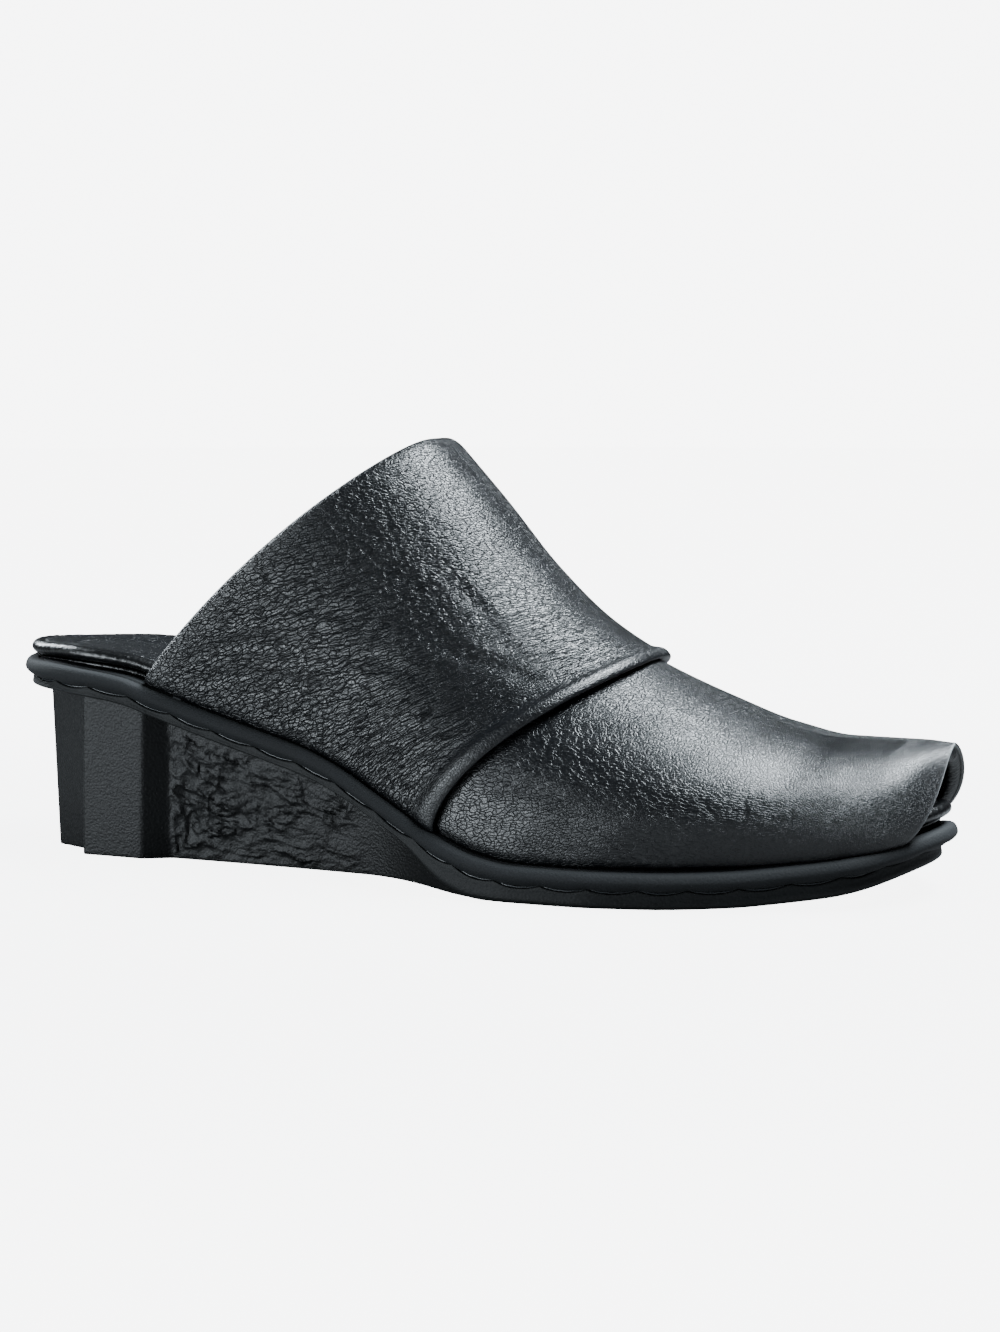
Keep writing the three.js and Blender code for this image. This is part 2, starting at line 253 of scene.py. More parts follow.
def ring_wall(name, count, levels):
    """A circle of count points extruded upwards through the levels, and each vertex's point and level."""
    bpy.ops.object.select_all(action="DESELECT")
    bpy.ops.mesh.primitive_circle_add(vertices=count, radius=1)
    wall = bpy.context.object
    wall.name = name
    bpy.ops.object.mode_set(mode="EDIT")
    for _ in range(levels - 1):
        bpy.ops.mesh.extrude_region_move(TRANSFORM_OT_translate={"value": (0, 0, 1)})
    bpy.ops.object.mode_set(mode="OBJECT")
    points = read_points(wall)
    turn = np.arctan2(points[:, 1], points[:, 0]) / (2 * math.pi)
    return wall, np.round(turn * count).astype(int) % count, np.round(points[:, 2]).astype(int)


def close_and_smooth(piece, sharp_degrees=40):
    """Merges the points that meet, turns every face outwards and shades the piece smooth."""
    select_only(piece)
    bpy.ops.object.mode_set(mode="EDIT")
    bpy.ops.mesh.select_all(action="SELECT")
    bpy.ops.mesh.remove_doubles(threshold=0.002 * MM)
    bpy.ops.mesh.normals_make_consistent(inside=False)
    bpy.ops.object.mode_set(mode="OBJECT")
    bpy.ops.object.shade_smooth_by_angle(angle=math.radians(sharp_degrees))
    edges_open = int((edge_use(piece) != 2).sum())
    print(piece.name, len(piece.data.polygons), "faces,", edges_open, "open edges")


def mend_open_edges(piece, operator, **settings):
    """Runs one edit-mode operator on the edges that only one face uses."""
    select_only(piece)
    bpy.ops.object.mode_set(mode="EDIT")
    bpy.ops.mesh.select_all(action="DESELECT")
    bpy.ops.mesh.select_non_manifold(extend=False)
    operator(**settings)
    bpy.ops.object.mode_set(mode="OBJECT")


def edge_use(piece):
    """How many faces use each edge: 2 everywhere on a closed body."""
    used = np.zeros(len(piece.data.edges), int)
    loops = np.zeros(len(piece.data.loops), int)
    piece.data.loops.foreach_get("edge_index", loops)
    np.add.at(used, loops, 1)
    return used


def middle_of(ring):
    """The middle line of a ring: halfway between each point and the one that faces it."""
    return [(way + way[::-1]) / 2 for way in ring]


def sole_layer(name, rings, second_from=None):
    """A closed layer of the sole. rings: (x, y, z) of each level from the bottom up.

    Faces from ring number second_from on take the second material."""
    wall, point, level = ring_wall(name, RING, len(rings) + 2)
    stack = [middle_of(rings[0]), *rings, middle_of(rings[-1])]
    table = np.array([np.stack(ring, axis=-1) for ring in stack])
    set_points(wall, table[level, point])
    if second_from is not None:
        lowest = [min(level[v] for v in face.vertices) for face in wall.data.polygons]
        wall.data.polygons.foreach_set("material_index", [int(row > second_from) for row in lowest])
    close_and_smooth(wall)
    return wall


def store(piece, name, *values):
    """Keeps two or three numbers at each vertex for the material to read."""
    layer = piece.data.attributes.new(name, "FLOAT_VECTOR", "POINT")
    three = np.stack([*values, 0 * values[0]][:3], axis=-1)
    layer.data.foreach_set("vector", three.astype(np.float32).ravel())


def stand_for(piece, node):
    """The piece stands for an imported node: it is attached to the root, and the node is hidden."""
    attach(piece, "root")
    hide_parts(node)


# %% [markdown]
# The rim and the outsole are stitched together all round. Each stitch pulls the rubber up into a small
# cusp, and between two cusps the rim bulges down over a thin open slit in which the thread lies. On a
# render this line is what makes the sole read as sewn, so it is cut into both layers as real geometry.

# %% The stitched seam
STITCH_PITCH = 12.4
SEAM_BULGE = 0.42
SEAM_SLIT = 0.62
SEAM_CUSP = 0.8 * SEAM_BULGE
stitch_count = round(PERIMETER / STITCH_PITCH)
stitch_phase = ring_way / PERIMETER * stitch_count
seam_wave = np.abs(np.sin(math.pi * stitch_phase)) ** 0.75
print(stitch_count, "stitches")


def seam_line(slit_share):
    """Height along the seam, from its upper edge (0) to its lower edge (1), in millimetres."""
    return SEAM_CUSP - (SEAM_BULGE + slit_share * SEAM_SLIT) * seam_wave


# %% [markdown]
# The midsole rim is a rubber strip that stands out all round. Its top is rounded, its nose lies at half
# its height, and below the nose it draws in to a crisp lower edge, which catches the light of the floor.
# A groove separates it from the leather. The section is a short table of height and inset.

# %% Midsole rim
RIM_SECTION = [
    # height as a share of the thickness, inset as a share of RIM_SLOPE, how much it follows the seam
    (0.0, 1.3, 0.0),
    (0.0, 0.85, 0.5),
    (0.0, 0.6, 1.0),
    (0.02, 0.51, 1.0),
    (0.08, 0.4, 0.9),
    (0.18, 0.24, 0.7),
    (0.28, 0.11, 0.45),
    (0.38, 0.03, 0.25),
    (0.47, 0.0, 0.1),
    (0.56, 0.01, 0.0),
    (0.66, 0.045, 0.0),
    (0.76, 0.1, 0.0),
    (0.86, 0.18, 0.0),
    (0.93, 0.28, 0.0),
    (0.975, 0.42, 0.0),
    (0.995, 0.62, 0.0),
    (0.99, 0.93, 0.0),
    (0.96, 1.03, 0.0),
    (0.89, 1.1, 0.0),
    (0.89, 1.3, 0.0),
    (1.0, 1.42, 0.0),
    (1.0, 1.6, 0.0),
]


rim = sole_layer("rim", [
    (*inset_ring(inwards * RIM_SLOPE), rim_bottom(ring_x) + rise * RIM_THICKNESS + follows * seam_line(0))
    for rise, inwards, follows in RIM_SECTION
])
stand_for(rim, "midsole_rim")

# %% [markdown]
# The outsole's plate carries the rim. It is thin over the wedge and grows into the full forefoot, with a
# slightly hollow side and a soft lower edge. Its upper edge follows the seam a slit's width below the rim.

# %% Outsole plate
SEAM_LAP = 0.08
FLARE_DELAY = 15
PLATE_SECTION = [
    # height as a share of the thickness, inset in millimetres, how much it follows the seam
    (0.0, 2.6, 0.0),
    (0.0, 1.3, 0.0),
    (0.05, 0.62, 0.0),
    (0.14, 0.2, 0.0),
    (0.27, 0.0, 0.0),
    (0.42, 0.06, 0.1),
    (0.6, 0.2, 0.35),
    (0.78, 0.26, 0.7),
    (0.92, 0.2, 1.0),
    (0.98, 0.3, 1.0),
    (1.0, 0.7, 1.0),
    (1.0, 1.6, 1.0),
    (1.0, 3.0, 0.0),
]


def plate_thickness(x):
    full = np.where(x < TREAD_END, seat_height(x), np.minimum(seat_height(x), FOREFOOT))
    flared = smoothstep(x, FLARE_START + FLARE_DELAY, FLARE_END)
    return FLANGE + (full - FLANGE) * flared


def outsole_inset(x):
    return OUTSOLE_INSET + (OUTSOLE_TOE_INSET - OUTSOLE_INSET) * smoothstep(x, 0.9 * LENGTH, LENGTH)


plate_low = seat_height(ring_x) - plate_thickness(ring_x)
plate_edge = GAP - SEAM_LAP + seam_line(1)
plate = sole_layer("outsole_plate", [
    (
        *inset_ring(outsole_inset(ring_x) + inwards),
        plate_low + rise * plate_thickness(ring_x) + follows * plate_edge,
    )
    for rise, inwards, follows in PLATE_SECTION
])
stand_for(plate, "outsole")

# %% [markdown]
# The thread lies in the slits. It is one thin tube along the seam, a little inside the outsole's edge,
# and it dips under the rubber at every cusp, where the real one goes through.

# %% Seam thread
THREAD_DIAMETER = 0.5
THREAD_INSET = 0.75
THREAD_DIP = 0.6
THREAD_SIDES = 8
TWISTS = 9
TWIST_HEIGHT = 0.06


def make_thread():
    wall, corner, station = ring_wall("seam_thread", THREAD_SIDES, RING)
    x, y = inset_ring(outsole_inset(ring_x) + THREAD_INSET + THREAD_DIP * (1 - seam_wave))
    z = seat_height(ring_x) + GAP - 0.1 * THREAD_DIAMETER + seam_line(0.5)
    z += TWIST_HEIGHT * np.sin(2 * math.pi * TWISTS * stitch_phase) * seam_wave
    centre = np.stack([x, y, z], axis=-1)[station]
    angle = 2 * math.pi * corner / THREAD_SIDES
    out = np.stack([-ring_along[1], ring_along[0]])[:, station]
    offset = np.stack([out[0] * np.cos(angle), out[1] * np.cos(angle), np.sin(angle)], axis=-1)
    set_points(wall, centre + THREAD_DIAMETER / 2 * offset)
    mend_open_edges(wall, bpy.ops.mesh.bridge_edge_loops)
    close_and_smooth(wall, 180)
    return wall


thread = make_thread()
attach(thread, "root")

# %% [markdown]
# Under the plate stands the moulded wedge. Seen from below it is a cross: a narrow web at the back, a
# block that stands out on both sides with a slanted facet in front of it, and a long waist that widens
# into the forefoot. The corners of a moulded block are a little round, so each corner of the plan is
# replaced by a short arc before the walls are raised.

# %% Wedge plan
WEDGE = [
    # from the back as a share of LENGTH, half width as a share of BALL_WIDTH, lean as a share of LENGTH
    (0.0511, 0.152, -0.004),
    (0.1023, 0.213, 0.004),
    (0.1074, 0.283, 0.005),
    (0.177, 0.287, 0.007),
    (0.2046, 0.2424, 0.0),
]
WEDGE_END = 158
WEDGE_END_HALF = 30
CORNER_ROUND = 0.8
WALL_STEP = 0.48


def plan_corners():
    """Corners of one side of the wedge from the back to the front: x, half width, lean."""
    rows = [(at * LENGTH, half * BALL_WIDTH, lean * LENGTH) for at, half, lean in WEDGE]
    back_x, back_half, _ = rows[-1]
    for share in np.linspace(0, 1, 19)[1:]:
        half = back_half + (WEDGE_END_HALF - back_half) * share**2
        rows.append((back_x + (WEDGE_END - back_x) * share, half, 0.0))
    return np.array([(rows[0][0], 0.0, rows[0][2]), *rows])


def rounded_plan(corners, reach, step):
    """The polyline with an arc at each of its first corners, in points about a step apart."""
    points = [corners[0]]
    for before, corner, after in zip(corners[:-2], corners[1:-1], corners[2:]):
        ways = [np.linalg.norm((before - corner)[:2]), np.linalg.norm((after - corner)[:2])]
        start = corner + (before - corner) * min(reach / ways[0], 0.45)
        end = corner + (after - corner) * min(reach / ways[1], 0.45)
        for t in np.linspace(0, 1, 6):
            points.append(start * (1 - t) ** 2 + corner * 2 * t * (1 - t) + end * t * t)
    points.append(corners[-1])
    dense = [points[0]]
    for a, b in zip(points[:-1], points[1:]):
        pieces = max(1, round(np.linalg.norm((b - a)[:2]) / step))
        dense += [a + (b - a) * k / pieces for k in range(1, pieces + 1)]
    return np.array(dense)


plan = rounded_plan(plan_corners(), CORNER_ROUND, WALL_STEP)
print(len(plan), "points on each side of the wedge's plan")

# %% [markdown]
# The long sides of the wedge carry a crinkled relief, like pressed foil: sharp little ridges, mostly
# lying along the shoe, with flat facets between them, and a column of rounder lumps next to the heel
# block. Bump alone would leave the outline of the ridges flat, so the wall itself is moved. Folding
# smooth noise at its zero line gives ridges, and three sizes of them are added.

# %% Crinkled relief
RELIEF_START = 53.0
RELIEF_END = 113.0
RELIEF_FADE = 14.0
LUMPS_END = 62.0
LUMPS_BLEND = 3.0
RIDGE_HEIGHT = 0.68
LUMP_HEIGHT = 1.0
BEND_SIZE = 8.0
BEND_REACH = 3.0
RIDGES = [
    # share, sharpness, length and height in millimetres, bends along and up, layer of the noise
    (0.75, 4.2, 7.0, 3.4, 0, 1, 0),
    (0.55, 5.0, 4.2, 5.5, 1, 2, 5),
    (0.32, 3.6, 2.3, 1.5, 2, 0, 9),
]
PLEATS = (0.55, 4.0, 3.0, 4.0, 1, 0, 13)


def ridge(x, z, side, bend, share, sharpness, long, tall, bend_along, bend_up, layer):
    place = Vector(((x + bend[bend_along]) / long, (z + bend[bend_up]) / tall, layer + side))
    return share * max(0.0, 1 - sharpness * abs(noise.noise(place)))


def relief(x, z, top, side):
    """How far the wall stands out at one point, in millimetres."""
    inside = smoothstep(x, RELIEF_START - 2, RELIEF_START + 1)
    inside *= 1 - smoothstep(x, RELIEF_END - RELIEF_FADE, RELIEF_END)
    inside *= smoothstep(z, 0.6, 2.6) * (1 - smoothstep(z, top - 4.0, top - 1.0))
    if inside <= 0:
        return 0.0
    place = Vector((x, z, 7.0 * side))
    layers = [Vector((0.0, 0.0, 20.5 * layer)) for layer in (1, 2, 3)]
    bend = Vector([BEND_REACH * noise.noise(place / BEND_SIZE + layer) for layer in layers])
    patch = 0.25 + 0.75 * smoothstep(noise.noise(place / 10.0 + Vector((4, 4, 4))), -0.3, 0.3)
    sharp = patch * sum(ridge(x, z, side, bend, *row) for row in RIDGES)
    sharp += 0.6 * noise.noise(place / 5.0) - 0.25
    lump = noise.noise(Vector(((x + bend.x) / 5.0, (z + bend.y) / 6.0, 11 + side)))
    lumps = lump + ridge(x, z, side, bend, *PLEATS)
    blend = smoothstep(x, LUMPS_END - LUMPS_BLEND, LUMPS_END + LUMPS_BLEND)
    return float(inside * ((1 - blend) * LUMP_HEIGHT * lumps + blend * RIDGE_HEIGHT * sharp))


# %% [markdown]
# The walls are rings raised on that plan. The lowest ones round the corner to the floor, the highest one
# reaches into the plate, so no light passes between them, and the relief moves each point out.

# %% Wedge walls
WALL_LEVELS = 92
FLOOR_ROUND = [
    # inwards and up, as shares of FLOOR_EDGE
    (1, 0),
    (0.45, 0.12),
    (0.12, 0.45),
    (0, 1),
]


def make_wedge():
    count = 2 * len(plan) - 2
    corner_rings = len(FLOOR_ROUND)
    rows = WALL_LEVELS + corner_rings + 2
    wall, point, level = ring_wall("wedge", count, rows)
    sides = np.array([-1.0] * len(plan) + [1.0] * (len(plan) - 2))
    order = list(range(len(plan))) + list(range(len(plan) - 2, 0, -1))
    x0, half, lean = plan[order].T
    flare = smoothstep(x0, FLARE_START, FLARE_END)
    table = np.zeros((rows, count, 3))
    for row in range(rows):
        rise = np.clip((row - corner_rings) / WALL_LEVELS, 0, 1)
        x = x0 + lean * rise
        top = seat_height(x) - FLANGE
        edge = np.minimum(FLOOR_EDGE, 0.5 * top)
        inwards, lift = FLOOR_ROUND[min(max(row - 1, 0), corner_rings - 1)]
        z = edge * lift + (top - edge) * rise
        full = sides * rim_edge(x, sides) - OUTSOLE_INSET - WALL_DRAFT - GAP
        width = half + (np.maximum(full, 0) - half) * flare + WALL_DRAFT * rise
        width = width - FLOOR_EDGE * inwards
        if row == rows - 1:
            z = top + 0.5 * FLANGE
        y = sides * np.where(half > 0, np.maximum(width, 0), 0)
        if row == 0:
            y = y * 0
        table[row] = np.stack([x, y, z], axis=-1)
    stands_out = np.array([
        [relief(p[0], p[2], t, s) for p, t, s in zip(ring, seat_height(ring[:, 0]) - FLANGE, sides)]
        for ring in table
    ])
    table[:, :, 1] += stands_out * sides
    placed = table[level, point]
    set_points(wall, placed)
    crinkled = smoothstep(placed[:, 0], LUMPS_END - LUMPS_BLEND, LUMPS_END + LUMPS_BLEND)
    crinkled *= 1 - smoothstep(placed[:, 0], RELIEF_END - RELIEF_FADE, RELIEF_END + 4)
    store(wall, "zone", crinkled, crinkled * 0)
    mend_open_edges(wall, bpy.ops.mesh.edge_face_add)
    close_and_smooth(wall, 30)
    return wall


wedge = make_wedge()
stand_for(wedge, "outsole")

# %% [markdown]
# On the rim lie two layers of insole. The lower one is a leather-covered board whose edge shows as a thin
# glossy band. The upper one is a padded footbed with a rolled edge and a dished middle. Both are tightly
# lasted, so the leather pulls into small irregular ripples along the edge, which break its highlight.

# %% Ripples along an edge
def ripples(strength, length):
    """Small irregular ripples along the ring, in millimetres."""
    return strength * np.array([
        noise.noise(Vector((way / length, 0.0, 0.0)))
        + 0.6 * noise.noise(Vector((way / length * 2.3, 5.0, 0.0)))
        for way in ring_way
    ])


# %% [markdown]
# The board's edge is a soft step. Under the toe it draws back, so that the opening shows one edge only.

# %% Insole base
TOE_TUCK = 1.6


def settled(x):
    """1 at the back of the heel, where the footbed lies lowest on the board, falling to 0."""
    return 1 - smoothstep(x, 5, 45)


BASE_SECTION = [
    # height above the rim and inset from the footbed's edge, in millimetres
    (-0.15, 3.0),
    (-0.15, 1.4),
    (0.0, 0.95),
    (0.3, 0.7),
    (0.65, 0.6),
    (0.95, 0.62),
    (1.2, 0.78),
    (1.34, 1.1),
    (1.38, 1.6),
    (1.38, 3.0),
]


def make_base():
    ripple = ripples(0.16, 2.4)
    hidden = TOE_TUCK * smoothstep(ring_x, 0.9 * LENGTH, 0.95 * LENGTH)
    rings = []
    for rise, inwards in BASE_SECTION:
        x, y = inset_ring(footbed_inset(ring_x) + inwards + hidden + ripple * smoothstep(rise, 0, 1))
        lower = 1 - 0.7 * settled(ring_x) * (rise > 0)
        z = base_bottom(ring_x) + lower * rise + 0.35 * ripple * smoothstep(rise, 0.3, 1.2)
        rings.append((x, y, z))
    return sole_layer("insole_board", rings)


board = make_base()
stand_for(board, "insole_base")

# %% [markdown]
# The footbed is padded under its leather. A cloth simulation would swell it freely, but here the pad is
# thin and lasted tight, and its rolled edge has a known radius, so the section is drawn and the seat is
# let down towards the middle with a little sag. The inner side lies lower, where the foot presses most.

# %% Footbed
ROLL_SECTION = [
    # height above the footbed's underside and inset from its edge, in millimetres
    (-0.8, 3.2),
    (-0.8, 2.0),
    (-0.7, 1.25),
    (-0.42, 0.55),
    (0.0, 0.02),
    (0.5, -0.32),
    (1.05, -0.45),
    (1.6, -0.36),
    (2.1, -0.06),
    (2.5, 0.42),
    (2.78, 1.02),
    (2.9, 1.7),
    (2.84, 2.35),
    (2.6, 2.85),
    (2.46, 3.05),
    (2.6, 3.25),
    (2.7, 3.6),
    (2.7, 4.4),
    (2.6, 5.6),
    (2.36, 7.2),
    (2.05, 8.8),
    (1.75, 10.4),
]
ROLL_RINGS = 14
SEAT_STEPS = 12
SEAT_SAG = 0.3
INNER_DROP = 1.4
HEEL_SETTLE = 1.1
EDGE_RIPPLE = 0.6


def make_footbed():
    ripple = ripples(0.2, 3.0)
    rings = []
    for rise, inwards in ROLL_SECTION:
        on_edge = smoothstep(rise, 0.0, 1.5) * (1 - smoothstep(inwards, 2.2, 3.4))
        x, y = inset_ring(footbed_inset(ring_x) + inwards + EDGE_RIPPLE * ripple * on_edge)
        rings.append((x, y, footbed_bottom(ring_x) + rise + EDGE_RIPPLE * ripple * on_edge))
    edge = rings[-1]
    middle = middle_of(edge)
    rise, seat = ROLL_SECTION[-1][0], FOOTBED_THICKNESS - FOOTBED_DISH
    for share in np.linspace(0, 0.96, SEAT_STEPS)[1:]:
        x, y = (edge[k] + (middle[k] - edge[k]) * share for k in (0, 1))
        sag = np.array([noise.noise(Vector((a / 17, b / 7, 2.0))) for a, b in zip(x, y)])
        z = footbed_bottom(x) + seat + (rise - seat) * (1 - share) ** 2
        rings.append((x, y, z + SEAT_SAG * sag * smoothstep(share, 0, 0.3)))
    pad = sole_layer("footbed_pad", rings, ROLL_RINGS)
    points = read_points(pad) / MM - shoe_origin
    lowered = INNER_DROP * smoothstep(points[:, 1], -12, 24) * (1 - smoothstep(points[:, 0], 60, 110))
    points[:, 2] -= lowered * smoothstep(points[:, 2] - base_bottom(points[:, 0]), 1.5, 3.5)
    points[:, 2] -= HEEL_SETTLE * settled(points[:, 0])
    set_points(pad, points)
    even = 0 * lowered
    store(pad, "hide", points[:, 0], points[:, 1], even + 0.4)
    store(pad, "zone", even + 0.8, even + 1)
    return pad


footbed = make_footbed()
stand_for(footbed, "footbed")

# %% [markdown]
# The upper is drawn by tilted ribs from the collar to the toe opening. Each rib stands with both feet on
# the rim, and its section is a rounded arch whose shoulders grow softer towards the toe. The last rib is
# the edge of the opening: it leaves the rim in a rounded corner and then sweeps forward to the crest.
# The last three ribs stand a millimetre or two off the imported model, to follow the photograph closer.

# %% The upper's ribs
RIBS = [
    # outer foot, inner foot, crest (shares of LENGTH), height (share of INSTEP_HEIGHT),
    # shift (share of BALL_WIDTH), lean, roof, belly (share of BALL_WIDTH)
    (0.188, 0.2, 0.468, 1.0, 0.0, 1.2, 3.4, 0.06),
    (0.272, 0.285, 0.527, 0.852, 0.01, 1.32, 3.2, 0.055),
    (0.358, 0.372, 0.584, 0.698, 0.02, 1.44, 3.0, 0.05),
    (0.446, 0.46, 0.641, 0.575, 0.035, 1.56, 2.8, 0.045),
    (0.529, 0.545, 0.7, 0.492, 0.05, 1.65, 2.6, 0.033),
    (0.62, 0.634, 0.7657, 0.4235, 0.06, 1.3, 2.6, 0.022),
    (0.719, 0.73, 0.83, 0.3686, 0.065, 1.0, 2.6, 0.016),
    (0.822, 0.83, 0.8904, 0.3429, 0.067, 0.7, 2.6, 0.012),
    (0.901, 0.904, 0.959, 0.3454, 0.06, 0.44, 2.4, 0.006),
    (0.959, 0.918, 1.001, 0.349, 0.031, 0.497, 1.45, -0.013),
]
LAST_RIB = len(RIBS) - 1
TOE_SWEEP = 2.17
BAND_FRONT = 4
FOOT_GAP = 0.12
rib_outer, rib_inner, rib_crest, rib_height, rib_shift, rib_lean, rib_roof, rib_belly = (
    column(range(len(RIBS)), [row[k] for row in RIBS]) for k in range(8)
)


def arch(rib, around):
    """A point of the outside. rib: 0 at the collar. around: 0 at the outer foot, 1 at the inner."""
    side = np.where(around < 0.5, -1.0, 1.0)
    across, up = np.abs(np.cos(math.pi * around)), np.sin(math.pi * np.clip(around, 0, 1))
    power = rib_roof(rib)
    reach = (across**power + up**power) ** (-1 / power)
    out, rise = across * reach, up * reach
    foot = LENGTH * np.where(side < 0, rib_outer(rib), rib_inner(rib))
    foot_y = rim_edge(foot, side) - side * UPPER_INSET
    foot_z = rim_top(foot) + FOOT_GAP
    crest_y = BALL_WIDTH * rib_shift(rib)
    belly = side * BALL_WIDTH * rib_belly(rib) * 6.75 * rise * rise * (1 - rise) * out
    sweep = 1 + (TOE_SWEEP - 1) * smoothstep(rib, LAST_RIB - 1, LAST_RIB)
    forward = (1 - (1 - np.minimum(rise, 1)) ** sweep) ** rib_lean(rib)
    return np.stack([
        foot + (LENGTH * rib_crest(rib) - foot) * forward,
        crest_y + (foot_y - crest_y) * out + belly,
        foot_z + (INSTEP_HEIGHT * rib_height(rib) - foot_z) * rise,
    ], axis=-1)


NORMAL_STEP = 0.004


def skin(rib, around, distance):
    """A point at a distance outside the upper's surface. Past the first or last rib it goes straight on."""
    on_rib = np.clip(rib, 0, LAST_RIB)
    r0, r1 = np.maximum(on_rib - NORMAL_STEP * 9, 0), np.minimum(on_rib + NORMAL_STEP * 9, LAST_RIB)
    a0, a1 = np.maximum(around - NORMAL_STEP, 0), np.minimum(around + NORMAL_STEP, 1)
    along = (arch(r1, around) - arch(r0, around)) / (r1 - r0)[..., None]
    normal = np.cross(along, arch(on_rib, a1) - arch(on_rib, a0))
    normal /= np.linalg.norm(normal, axis=-1, keepdims=True)
    point = arch(on_rib, around) + along * (rib - on_rib)[..., None] + normal * distance[..., None]
    point[..., 2] = np.maximum(point[..., 2], rim_top(point[..., 0]) + 0.05)
    return point


# %% [markdown]
# A leather wall is two sheets, its outside and its inside, that meet at the edges. Both start as one flat
# grid: it is added, copied, and the copy is turned over. Each point is then laid on the ribs, and the
# wall's thickness falls to nothing along a quarter circle at every edge, which rounds it.

# %% Two sheets
def edge_stations(start, end, fine, step):
    """Places from start to end, packed like a quarter circle over fine at both ends."""
    turn = fine * (1 - np.cos(np.linspace(0, math.pi / 2, 7)))
    middle = np.linspace(start + fine, end - fine, max(2, round((end - start - 2 * fine) / step)))
    return np.concatenate([start + turn[:-1], middle, end - turn[:-1][::-1]])


def edge_taper(place, start, end, fine):
    """1 inside the sheet, falling to 0 at its two edges along a quarter circle."""
    nearest = np.minimum(place - start, end - place)
    rest = 1 - np.clip(nearest / fine, 0, 1)
    return np.sqrt(np.maximum(1 - rest * rest, 0))


def two_sheets(name, arcs, ribs):
    """Two flat grids, and the arc, rib and side (1 outside, -1 inside) of each vertex."""
    across, along = len(arcs) - 1, len(ribs) - 1
    bpy.ops.object.select_all(action="DESELECT")
    bpy.ops.mesh.primitive_grid_add(x_subdivisions=across, y_subdivisions=along, size=2)
    sheet = bpy.context.object
    sheet.name = name
    bpy.ops.object.mode_set(mode="EDIT")
    bpy.ops.transform.translate(value=(0, 0, 1))
    bpy.ops.mesh.duplicate()
    bpy.ops.transform.translate(value=(0, 0, -2))
    bpy.ops.mesh.flip_normals()
    bpy.ops.object.mode_set(mode="OBJECT")
    points = read_points(sheet)
    column_of = np.round((points[:, 0] + 1) / 2 * across).astype(int)
    row_of = np.round((points[:, 1] + 1) / 2 * along).astype(int)
    return sheet, arcs[column_of], ribs[row_of], np.sign(points[:, 2])


# %% [markdown]
# Leather that bends keeps its creases. The main ones are listed as soft troughs with a slight
# swell beside them: each is a line on the ribs, with a depth and a width in millimetres.

# %% Listed creases
BAND_CREASES = [
    # rib and around at the start, in the middle and at the end; depth, width
    (0.25, 0.03, 0.75, 0.1, 1.5, 0.13, 0.35, 1.6),
    (0.5, 0.02, 1.1, 0.07, 1.9, 0.1, 0.3, 1.4),
    (0.35, 0.1, 1.0, 0.16, 1.8, 0.19, 0.28, 1.7),
    (1.1, 0.04, 1.7, 0.09, 2.5, 0.115, 0.3, 1.6),
    (1.6, 0.13, 2.2, 0.17, 3.0, 0.19, 0.32, 1.8),
    (1.5, 0.2, 2.2, 0.225, 3.1, 0.23, 0.3, 2.0),
    (1.2, 0.27, 2.0, 0.28, 2.9, 0.275, 0.25, 1.9),
    (2.2, 0.05, 2.7, 0.1, 3.3, 0.14, 0.25, 1.5),
    (2.9, 0.04, 3.3, 0.09, 3.6, 0.15, 0.25, 1.5),
    (0.7, 0.21, 1.2, 0.24, 1.7, 0.25, 0.2, 1.6),
    (2.4, 0.22, 3.0, 0.25, 3.6, 0.27, 0.25, 1.7),
    (0.3, 0.95, 0.9, 0.9, 1.7, 0.86, 0.3, 1.7),
    (1.0, 0.93, 1.8, 0.88, 2.6, 0.84, 0.3, 1.7),
    (1.5, 0.82, 2.3, 0.79, 3.1, 0.77, 0.3, 2.0),
    (2.3, 0.92, 2.9, 0.87, 3.4, 0.82, 0.25, 1.6),
]
VAMP_CREASES = [
    (4.15, 0.2, 4.45, 0.25, 4.9, 0.28, 0.18, 2.2),
    (4.3, 0.31, 4.8, 0.33, 5.3, 0.335, 0.2, 2.4),
    (4.2, 0.12, 4.6, 0.14, 5.2, 0.13, 0.18, 2.4),
    (6.5, 0.49, 6.75, 0.44, 7.0, 0.4, 0.45, 3.6),
    (7.3, 0.12, 7.6, 0.2, 7.75, 0.29, 0.25, 3.4),
    (4.3, 0.7, 4.9, 0.68, 5.4, 0.67, 0.2, 2.4),
    (4.3, 0.86, 4.9, 0.86, 5.5, 0.87, 0.2, 2.4),
]


def creases(points, table):
    """How far the listed creases move each point, in millimetres."""
    moved = np.zeros(len(points))
    t = np.linspace(0, 1, 15)
    for r0, a0, r1, a1, r2, a2, depth, width in table:
        rib = r0 * (1 - t) ** 2 + (2 * r1 - (r0 + r2) / 2) * 2 * t * (1 - t) + r2 * t * t
        around = a0 * (1 - t) ** 2 + (2 * a1 - (a0 + a2) / 2) * 2 * t * (1 - t) + a2 * t * t
        path = skin(rib, around, 0 * rib)
        away = np.linalg.norm(points[:, None, :] - path[None], axis=-1)
        near = away.argmin(axis=1)
        share = np.take_along_axis(away, near[:, None], axis=1)[:, 0] / width
        fade = np.sin(math.pi * (0.06 + 0.88 * t))[near]
        moved -= depth * fade * (np.exp(-share**2) - 0.45 * np.exp(-((share - 1.9) ** 2)))
    return moved


# %% [markdown]
# Every wall of leather then goes the same way. At its feet it is tucked in to the rim. The creases go on
# the outer sheet alone. The hide's own directions are kept on it too, turned as the skin was laid when
# the piece was cut, because the grain is drawn out along them.

# %% Laying a wall on the ribs
TUCK = 1.1
TUCK_HEIGHT = 3.2
RIB_SPACING = 20.0
ARC_STEP = 1 / 230
FOOT_TAPER = 0.004


